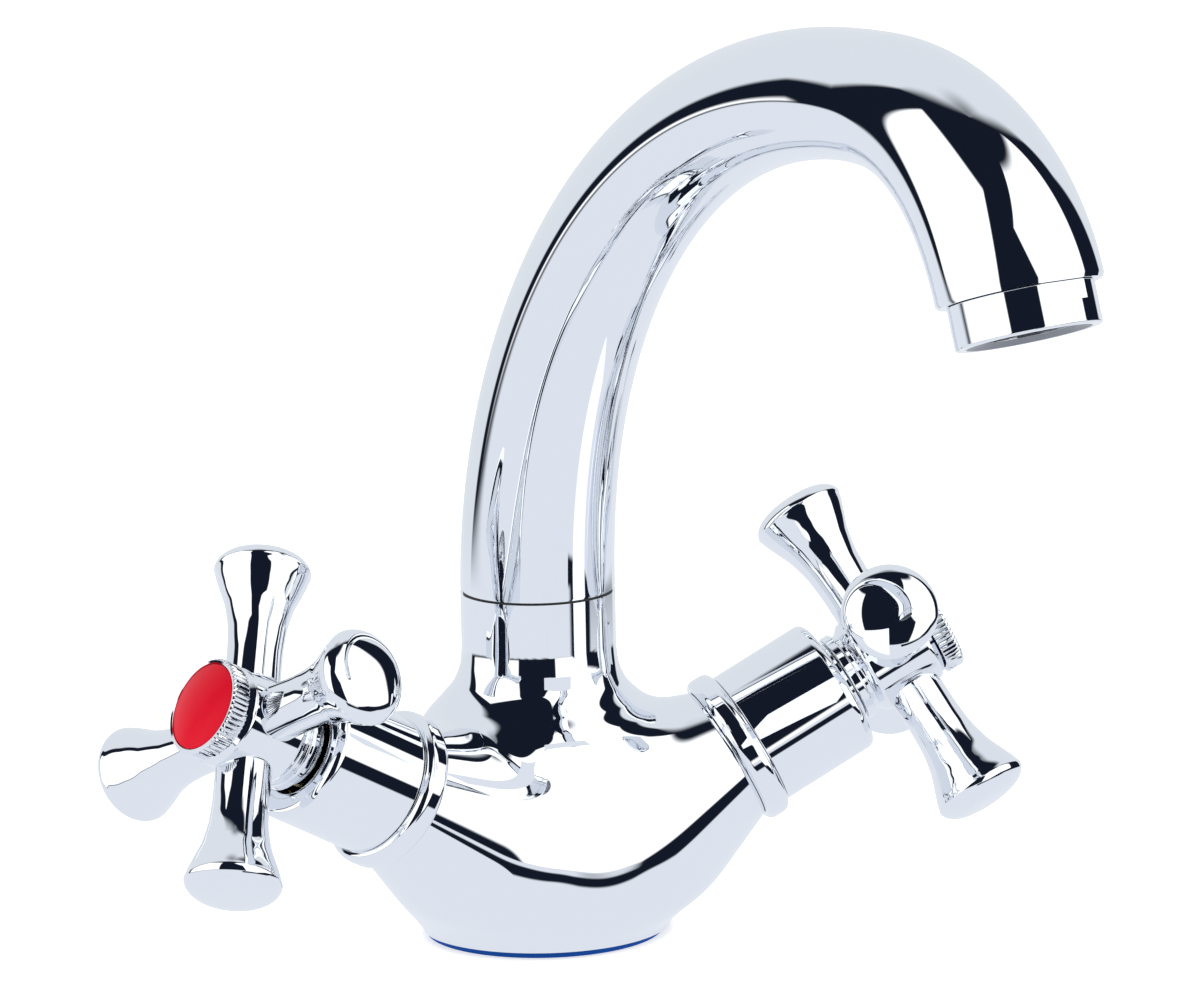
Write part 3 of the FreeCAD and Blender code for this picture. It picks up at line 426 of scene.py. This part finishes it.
def make_trim(name):
    arm = arms[name]
    low, high, inner, outer = (value / MM for value in arm.span(name + "_bonnet_ring"))
    ring = [(inner, low, 0.1), (outer, low, 1.7), (outer, high, 2.3), (inner, high, 0.1)]
    finish_piece(lathe(name + "_ring", ring, arm.matrix()), "base", name + "_bonnet_ring")
    low, high, inner, outer = (value / MM for value in arm.span(name + "_sleeve"))
    bore = inner + 3.2
    sleeve = [
        (bore, low, 0.1),
        (outer, low, 0.25),
        (outer, high, 3.3),
        (inner + 1.3, high, 0.25),
        (inner + 1.3, high - 0.8, 0.1),
        (inner, high - 0.8, 0.3),
        (inner, high - 2.6, 0.1),
        (bore, high - 2.6, 0.1),
    ]
    finish_piece(lathe(name + "_sleeve_shell", sleeve, arm.matrix()), "base", name + "_sleeve")


def make_hub(name):
    arm = arms[name]
    low, high, inner, outer = (value / MM for value in arm.span(name + "_hub"))
    shoulder = high - 16.6
    hub = [
        (4.0, shoulder, 0.1),
        (6.0, shoulder, 0.1),
        (6.0, low, 0.2),
        (8.7, low, 0.4),
        (8.7, shoulder - 3.2, 0.2),
        (9.9, shoulder - 3.2, 0.4),
        (9.9, shoulder - 1.0, 0.4),
        (9.0, shoulder - 1.0, 0.2),
        (9.0, shoulder, 0.4),
        (outer, shoulder + 1.6, 1.2),
        (outer, high - 1.6, 1.2),
        (9.0, high, 0.3),
        (4.4, high, 0.1),
        (4.4, high - 4.6, 0.1),
        (4.0, high - 4.6, 0.1),
    ]
    finish_piece(lathe(name + "_hub_shell", hub, arm.matrix()), name + "_handle", name + "_hub")


def spoke_axis(name, spoke):
    """Line from the handle's axis out through the middle of one spoke."""
    arm = arms[name]
    points = vertices_of("%s_spoke_%s" % (name, spoke))
    centre = (points.max(axis=0) + points.min(axis=0)) / 2
    mean = points.mean(axis=0)
    along = float((mean - arm.origin) @ arm.axis)
    root = arm.origin + arm.axis * along
    direction = mean - root
    direction = direction - arm.axis * (direction @ arm.axis)
    return Axis(root, direction, arm.axis)


# (distance from the handle's axis, radius) of a spoke's waist
TRUMPET = ((9.0, 5.9), (16.3, 5.8), (21.4, 6.05), (27.0, 7.1), (31.0, 8.6), (33.6, 9.6), (35.0, 10.0))


def make_spoke(name, spoke):
    node = "%s_spoke_%s" % (name, spoke)
    line = spoke_axis(name, spoke)
    low, high, inner, outer = (value / MM for value in line.span(node))
    root, crown_height = 9.25, 4.0
    crown_at = high - crown_height
    knots, radii = zip(*TRUMPET)
    profile = [(0.02, low, None), (3.0, low, 0.2), (3.0, root, 0.1), (radii[0], root, 0.3)]
    for step in range(1, 49):
        height = root + 0.6 + (crown_at - root - 0.6) * step / 48
        profile.append((float(smooth_curve(knots, radii, height)), height, None))
    for step in range(1, 25):
        angle = math.pi / 2 * step / 24
        radius = max(outer * math.cos(angle) ** 0.62, 0.02)
        profile.append((radius, crown_at + crown_height * math.sin(angle), None))
    piece = lathe(node + "_shell", profile, line.matrix(), closed=False)
    finish_piece(piece, name + "_handle", node)


def make_cap(name):
    arm = arms[name]
    low, high, inner, outer = (value / MM for value in arm.span(name + "_cap_ring"))
    teeth, per_tooth = 60, 8
    levels = [
        (inner, low, 0.0),
        (inner, high - 0.5, 0.0),
        (inner + 0.2, high - 0.1, 0.0),
        (outer - 0.55, high, 0.0),
        (outer - 0.15, high - 0.35, 0.4),
        (outer, high - 0.7, 1.0),
        (outer, low + 0.3, 1.0),
        (outer - 0.3, low, 0.4),
    ]
    count = teeth * per_tooth
    angles = np.arange(count) * 2 * math.pi / count
    wave = 0.5 - 0.5 * np.cos(angles * teeth)
    rings = []
    for radius, height, cut in levels:
        reach = radius - 0.42 * cut * (1 - wave) ** 0.7
        across = (reach * np.cos(angles), reach * np.sin(angles))
        rings.append(np.stack((*across, np.full(count, height)), axis=1))
    points = np.concatenate(rings) * MM
    matrix = arm.matrix()
    points = points @ np.array(matrix.to_3x3()).T + np.array(matrix.translation)
    faces = [tuple(reversed(face)) for face in grid_faces(len(levels), count, True)]
    ring = build_mesh(name + "_cap_ring_shell", points, faces)
    ring.data.set_sharp_from_angle(angle=math.radians(50))
    finish_piece(ring, name + "_handle", name + "_cap_ring")
    low, high, inner, outer = (value / MM for value in arm.span(name + "_index"))
    rim = high - 1.1
    dome = [(0.02, low, None), (outer, low, 0.1), (outer, rim - 0.2, 0.3)]
    for step in range(1, 25):
        part = 1 - step / 24
        dome.append((max(outer * part, 0.02) - 0.25 * part, high - 1.25 * part ** 2.2, None))
    finish_piece(lathe(name + "_index_dome", dome, matrix, closed=False), name + "_handle", name + "_index")


for side in SIDES:
    make_trim(side)
    make_hub(side)
    make_cap(side)
    for spoke in SPOKES:
        make_spoke(side, spoke)


# ------------------------------------------------------------------------------------------
# Spout and aerator
# ------------------------------------------------------------------------------------------

RISE_RADIUS, RISE_ANGLE = 117.0, math.radians(93.0)
DROP_RADIUS, DROP_ANGLE = 47.2, math.radians(68.8)
WAIST_RADIUS, MOUTH_RADIUS, WAIST_AT, TAPER_POWER = 13.05, 16.47, 0.71, 0.65
SPOUT_EDGE = 0.5
rise_length = RISE_RADIUS * RISE_ANGLE
spout_length = rise_length + DROP_RADIUS * DROP_ANGLE
spout_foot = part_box("spout_glide_ring")[1].z / MM + 0.05
screen_middle = vertices_of("aerator_screen").mean(axis=0)
outward = np.array((screen_middle[0], screen_middle[1], 0.0))
outward = outward / np.linalg.norm(outward)
upward = np.array(UP)
sideways = np.cross(upward, outward)


def spout_line(distance):
    """Centre line point, direction and outer side at a distance from the spout's foot."""
    centre = np.array((0.0, 0.0, spout_foot)) + outward * RISE_RADIUS
    radius, angle = RISE_RADIUS, distance / RISE_RADIUS
    if distance > rise_length:
        inward = outward * math.cos(RISE_ANGLE) - upward * math.sin(RISE_ANGLE)
        centre = centre - inward * (RISE_RADIUS - DROP_RADIUS)
        radius, angle = DROP_RADIUS, RISE_ANGLE + (distance - rise_length) / DROP_RADIUS
    inward = outward * math.cos(angle) - upward * math.sin(angle)
    direction = upward * math.cos(angle) + outward * math.sin(angle)
    return centre - inward * radius, direction, -inward


def spout_radius(distance):
    part = distance / spout_length
    if part < WAIST_AT:
        blend = 0.5 - 0.5 * math.cos(math.pi * part / WAIST_AT)
        return collar_radius + (WAIST_RADIUS - collar_radius) * blend ** TAPER_POWER
    blend = 0.5 - 0.5 * math.cos(math.pi * (part - WAIST_AT) / (1 - WAIST_AT))
    return WAIST_RADIUS + (MOUTH_RADIUS - WAIST_RADIUS) * blend


FLAT_AT, FLAT_HEIGHT, LIFT = 13.4, 3.7, 0.1


def make_aerator_ring(mouth):
    """Outlet ring with two wrench flats beside the spout's lip and a wide chamfered bore."""
    low, high, inner, radius = (value / MM for value in mouth.span("aerator_housing"))
    flat_end = LIFT + FLAT_HEIGHT
    edge_lines = [(radius, flat_end + shift, None) for shift in (-0.12, -0.06, 0.0, 0.06, 0.12)]
    housing = [
        (10.8, low, 0.1),
        (11.95, low, 0.1),
        (11.95, LIFT, 0.1),
        (radius, LIFT, 0.25),
        (radius, LIFT + 0.3, None),
        *edge_lines,
        (radius, high, 0.5),
        (12.4, high, 0.2),
        (9.8, high - 1.0, 0.1),
        (9.8, high - 1.4, 0.1),
        (10.8, high - 1.4, 0.1),
    ]
    place = mouth.matrix()
    ring = lathe("aerator_ring", housing, place, steps=720)
    press_flats(ring.data, place, radius, flat_end)
    finish_piece(ring, "spout", "aerator_housing")
    throat = [(12.3, high - 0.01, None), (9.8, high - 0.97, None)]
    piece = lathe("aerator_throat", throat, place, closed=False)
    finish_piece(piece, "spout", "aerator_housing", "stainless")


def press_flats(mesh, place, radius, flat_end):
    """Move the ring's wall in to the two flats, and turn its normals straight out there."""
    back = place.inverted()
    normals = [Vector(corner.normal) for corner in mesh.loops]
    for face in mesh.polygons:
        middle = (back @ face.center) / MM
        on_wall = math.hypot(middle.x, middle.y) > radius - 0.2
        if on_wall and LIFT < middle.z < flat_end and abs(middle.x) > FLAT_AT:
            straight = place.to_3x3() @ Vector((math.copysign(1.0, middle.x), 0, 0))
            for loop in face.loop_indices:
                normals[loop] = straight
    for vertex in mesh.vertices:
        point = (back @ vertex.co) / MM
        if point.z < flat_end and abs(point.x) > FLAT_AT:
            point.x = math.copysign(FLAT_AT, point.x)
            vertex.co = place @ (point * MM)
    mesh.normals_split_custom_set([tuple(normal) for normal in normals])


def make_spout():
    """Tube swept along the centre line with rounded ends, its foot's face and its mouth."""
    steps, around = 360, 192
    angles = np.arange(around) * 2 * math.pi / around
    points, normals = [], []
    for step in range(steps + 1):
        distance = spout_length * step / steps
        centre, direction, outer = spout_line(distance)
        radius = spout_radius(distance)
        low, high = max(distance - 0.01, 0.0), min(distance + 0.01, spout_length)
        rate = (spout_radius(high) - spout_radius(low)) / (high - low)
        bend = RISE_RADIUS if distance < rise_length else DROP_RADIUS
        ring = np.outer(np.cos(angles), outer) + np.outer(np.sin(angles), sideways)
        stretch = 1 + radius * np.cos(angles) / bend
        normal = ring - direction * (rate / stretch)[:, None]
        to_end = min(distance, spout_length - distance, SPOUT_EDGE)
        inset = SPOUT_EDGE - math.sqrt(max(SPOUT_EDGE ** 2 - (SPOUT_EDGE - to_end) ** 2, 0.0))
        points.append(centre + ring * (radius - inset))
        normals.append(normal / np.linalg.norm(normal, axis=1)[:, None])
    points = np.concatenate(points) * MM
    normals = np.concatenate(normals)
    faces = [tuple(reversed(face)) for face in grid_faces(steps + 1, around)]
    finish_piece(build_mesh("spout_shell", points, faces, normals), "spout", "spout_tube")
    centre, direction, outer = spout_line(spout_length)
    mouth = Axis(centre * MM, direction, outer)
    lip = [(MOUTH_RADIUS - SPOUT_EDGE, 0.0, None), (12.0, 0.0, 0.3), (12.0, -9.0, None)]
    finish_piece(lathe("spout_lip", lip, mouth.matrix(), closed=False), "spout", "spout_tube")
    foot = [
        (10.0, spout_foot + 9.0, None),
        (10.0, spout_foot, 0.2),
        (collar_radius - SPOUT_EDGE, spout_foot, None),
    ]
    finish_piece(lathe("spout_foot_face", foot, swivel.matrix(), closed=False), "spout", "spout_tube")
    low, high, inner, radius = (value / MM for value in swivel.span("spout_glide_ring"))
    # The ring is the real glide ring, but its black seal-rubber colour is painted shade: it stands in for the
    # shadowed gap where the spout meets the collar.
    seam = [(inner, low, 0.05), (radius, low, 0.05), (radius, high, 0.05), (inner, high, 0.05)]
    finish_piece(lathe("seam_shade_ring", seam, swivel.matrix()), "base", "spout_glide_ring", "seal_rubber")
    make_aerator_ring(mouth)


make_spout()


# ------------------------------------------------------------------------------------------
# Floor, light and camera
# ------------------------------------------------------------------------------------------


CAMERA_AZIMUTH = math.radians(-24.0)
camera_right = (math.cos(CAMERA_AZIMUTH), math.sin(CAMERA_AZIMUTH), 0.0)
camera_side = (math.sin(CAMERA_AZIMUTH), -math.cos(CAMERA_AZIMUTH), 0.0)


class Sheet:
    """Arithmetic on shader sockets: each method returns the socket that holds its result."""

    def __init__(self, tree):
        self.tree = tree

    def put(self, socket, value):
        if isinstance(value, bpy.types.NodeSocket):
            self.tree.links.new(value, socket)
        else:
            socket.default_value = value

    def math(self, operation, *values):
        node = self.tree.nodes.new("ShaderNodeMath")
        node.operation = operation
        for socket, value in zip(node.inputs, values):
            self.put(socket, value)
        return node.outputs[0]

    def line(self, value, slope, offset):
        """value * slope + offset"""
        return self.math("MULTIPLY_ADD", value, slope, offset)

    def ramp(self, value, low, high, start=0.0, end=1.0, smooth=True):
        """Goes from start to end as value goes from low to high, and stays there."""
        node = self.tree.nodes.new("ShaderNodeMapRange")
        node.interpolation_type = "SMOOTHSTEP" if smooth else "LINEAR"
        self.put(node.inputs["Value"], value)
        self.put(node.inputs["From Min"], low)
        self.put(node.inputs["From Max"], high)
        self.put(node.inputs["To Min"], start)
        self.put(node.inputs["To Max"], end)
        return node.outputs["Result"]

    def above(self, value, edge, soft=1.0):
        """1 where value is over the edge and 0 under it, with a soft border."""
        return self.ramp(self.math("SUBTRACT", value, edge), -soft, soft)

    def all_of(self, *parts):
        product = parts[0]
        for part in parts[1:]:
            product = self.math("MULTIPLY", product, part)
        return product

    def dot(self, direction, axis):
        node = self.tree.nodes.new("ShaderNodeVectorMath")
        node.operation = "DOT_PRODUCT"
        self.put(node.inputs[0], direction)
        node.inputs[1].default_value = axis
        return node.outputs["Value"]

    def mix(self, part, under, over):
        """Colour `over` laid on colour `under` where part is 1."""
        node = self.tree.nodes.new("ShaderNodeMix")
        node.data_type = "RGBA"
        self.put(node.inputs[0], part)
        self.put(node.inputs[6], under)
        self.put(node.inputs[7], over)
        return node.outputs[2]


def backdrop_part(sheet, turn, rise):
    """Pale backdrop behind the faucet and round both sides of it, fading out overhead."""
    low = sheet.line(sheet.math("MINIMUM", rise, 50.0), 0.2, -116.0)
    high_part = sheet.math("MAXIMUM", sheet.math("SUBTRACT", rise, 50.0), 0.0)
    low = sheet.math("ADD", low, sheet.math("MULTIPLY", high_part, 0.1))
    soft = sheet.line(sheet.math("MAXIMUM", sheet.math("SUBTRACT", rise, 48.0), 0.0), 0.55, 1.5)
    high = sheet.math("MAXIMUM", sheet.line(rise, -0.6, 140.0), sheet.line(rise, -0.13, 125.9))
    left = sheet.ramp(sheet.math("SUBTRACT", low, turn), sheet.math("MULTIPLY", soft, -1.0), soft)
    right = sheet.ramp(sheet.math("SUBTRACT", turn, high), sheet.math("MULTIPLY", soft, -1.0), soft)
    return sheet.all_of(sheet.math("MAXIMUM", left, right), sheet.ramp(rise, 72.0, 90.0, 1.0, 0.25))


def left_softbox_part(sheet, turn, rise):
    """Upright softbox on the camera's left, with a slanted outer side and a bowed top."""
    bow = sheet.math("COSINE", sheet.math("RADIANS", sheet.line(turn, 1.6, 115.2)))
    top = sheet.line(bow, 6.0, 46.0)
    return sheet.all_of(
        sheet.above(turn, sheet.line(rise, 0.33, -107.0)),
        sheet.ramp(turn, -31.0, -29.0, 1.0, 0.0),
        sheet.ramp(rise, -10.0, -8.0),
        sheet.ramp(sheet.math("SUBTRACT", rise, top), -1.0, 1.5, 1.0, 0.0),
    )


def right_softbox_part(sheet, turn, rise):
    """Large softbox on the camera's right; its inner side steps in and out with height."""
    edge = sheet.math("MAXIMUM", sheet.line(rise, -1.12, 51.6), sheet.line(rise, 0.85, -30.7))
    widest = sheet.line(sheet.math("MAXIMUM", sheet.math("SUBTRACT", rise, 60.0), 0.0), 2.0, 24.0)
    edge = sheet.math("MINIMUM", edge, widest)
    bottom = sheet.ramp(turn, 50.0, 72.0, -10.5, -3.0, smooth=False)
    return sheet.all_of(
        sheet.above(turn, edge),
        sheet.ramp(turn, 101.5, 103.5, 1.0, 0.0),
        sheet.above(rise, bottom),
        sheet.ramp(rise, 63.0, 70.0, 1.0, 0.0),
    )


def table_part(sheet, turn, rise):
    """Pale table top that the chrome mirrors below the horizon, and a thin strip above its gap."""
    edge = sheet.ramp(turn, 12.0, 16.0, -10.5, -23.0, smooth=False)
    edge = sheet.math("ADD", edge, sheet.ramp(turn, 16.0, 72.0, 0.0, 6.0, smooth=False))
    edge = sheet.math("ADD", edge, sheet.ramp(turn, 72.0, 85.0, 0.0, 5.0, smooth=False))
    top = sheet.above(sheet.math("MULTIPLY", rise, -1.0), sheet.math("MULTIPLY", edge, -1.0))
    rim = sheet.all_of(
        sheet.ramp(turn, 11.0, 13.0),
        sheet.ramp(turn, 46.0, 52.0, 1.0, 0.0),
        sheet.ramp(rise, -14.5, -13.0),
        sheet.ramp(rise, -11.0, -10.0, 1.0, 0.0),
    )
    return sheet.math("MAXIMUM", top, rim)


def make_world():
    """Studio seen from the faucet: two softboxes, black gaps between them, a pale backdrop and table.

    `turn` is the azimuth of a direction from the camera's side of the faucet, and `rise` its
    elevation, both in degrees.
    """
    world = bpy.data.worlds.new("studio")
    bpy.context.scene.world = world
    world.use_nodes = True
    tree = world.node_tree
    sheet = Sheet(tree)
    direction = tree.nodes.new("ShaderNodeTexCoord").outputs["Generated"]
    across = sheet.dot(direction, camera_right)
    towards = sheet.dot(direction, camera_side)
    turn = sheet.math("DEGREES", sheet.math("ARCTAN2", across, towards))
    rise = sheet.math("DEGREES", sheet.math("ARCSINE", sheet.dot(direction, UP)))
    glow = sheet.mix(backdrop_part(sheet, turn, rise), (0.008, 0.011, 0.022, 1), (0.80, 0.83, 0.87, 1))
    glow = sheet.mix(left_softbox_part(sheet, turn, rise), glow, (1.35, 1.35, 1.35, 1))
    glow = sheet.mix(right_softbox_part(sheet, turn, rise), glow, (1.35, 1.35, 1.35, 1))
    glow = sheet.mix(table_part(sheet, turn, rise), glow, (0.83, 0.86, 0.915, 1))
    tree.links.new(glow, tree.nodes["Background"].inputs["Color"])


def rectangle(name, width, depth):
    mesh = bpy.data.meshes.new(name)
    corners = [(x * width / 2, y * depth / 2, 0.0) for x, y in ((-1, -1), (1, -1), (1, 1), (-1, 1))]
    mesh.from_pydata(corners, [], [(0, 1, 2, 3)])
    made = bpy.data.objects.new(name, mesh)
    bpy.context.scene.collection.objects.link(made)
    return made


def make_card(name, turn, distance, beside, height, size, strength):
    """Reflector card that only shows in the chrome; `turn` is in degrees from the camera's side."""
    card = rectangle(name, *size)
    angle = math.radians(turn)
    direction = Vector(camera_side) * math.cos(angle) + Vector(camera_right) * math.sin(angle)
    across = Vector(UP).cross(direction)
    card.location = direction * distance + across * beside + Vector(UP) * height
    card.rotation_mode = "QUATERNION"
    card.rotation_quaternion = direction.to_track_quat("Z", "Y")
    material = bpy.data.materials.new(name)
    material.use_nodes = True
    tree = material.node_tree
    tree.nodes.remove(tree.nodes["Principled BSDF"])
    light = tree.nodes.new("ShaderNodeEmission")
    light.inputs["Color"].default_value = (0.91, 0.94, 1.0, 1.0)
    light.inputs["Strength"].default_value = strength
    tree.links.new(light.outputs["Emission"], tree.nodes["Material Output"].inputs["Surface"])
    card.data.materials.append(material)
    card.visible_camera = False
    card.visible_diffuse = False
    card.visible_shadow = False


def make_floor():
    """Pale floor that lights up a little by itself and doesn't show in the chrome."""
    floor = rectangle("floor", 6.0, 6.0)
    material = node_material("floor", (0.88, 0.88, 0.88), 0.0, 0.8, 0.05, 30.0)
    shader = material.node_tree.nodes["Principled BSDF"]
    shader.inputs["Specular IOR Level"].default_value = 0.0
    shader.inputs["Emission Color"].default_value = (1, 1, 1, 1)
    shader.inputs["Emission Strength"].default_value = 0.62
    floor.data.materials.append(material)
    floor.visible_glossy = False


make_floor()
make_world()
make_card("front_card", 30.0, 0.062, 0.034, 0.060, (0.028, 0.024), 1.3)
make_card("riser_card", 18.0, 0.047, 0.004, 0.069, (0.028, 0.014), 0.91)


def make_camera():
    """Long lens on the photograph's side of the faucet, slightly above and slightly rolled."""
    elevation, roll = math.radians(11.4), math.radians(-1.1)
    distance = 1.587
    right = Vector(camera_right)
    back = Vector(camera_side) * math.cos(elevation) + Vector(UP) * math.sin(elevation)
    up = back.cross(right)
    target = right * 0.01345 + Vector((0, 0, 0.09232))
    across = right * math.cos(roll) + up * math.sin(roll)
    above = up * math.cos(roll) - right * math.sin(roll)
    data = bpy.data.cameras.new("camera")
    data.sensor_width = 36.0
    data.lens = 227.0
    data.clip_start = 0.05
    data.clip_end = 20.0
    camera = bpy.data.objects.new("camera", data)
    bpy.context.scene.collection.objects.link(camera)
    placement = Matrix((across, above, back)).transposed().to_4x4()
    placement.translation = target + back * distance
    camera.matrix_world = placement
    bpy.context.scene.camera = camera


make_camera()
bpy.context.scene.view_settings.view_transform = "Standard"
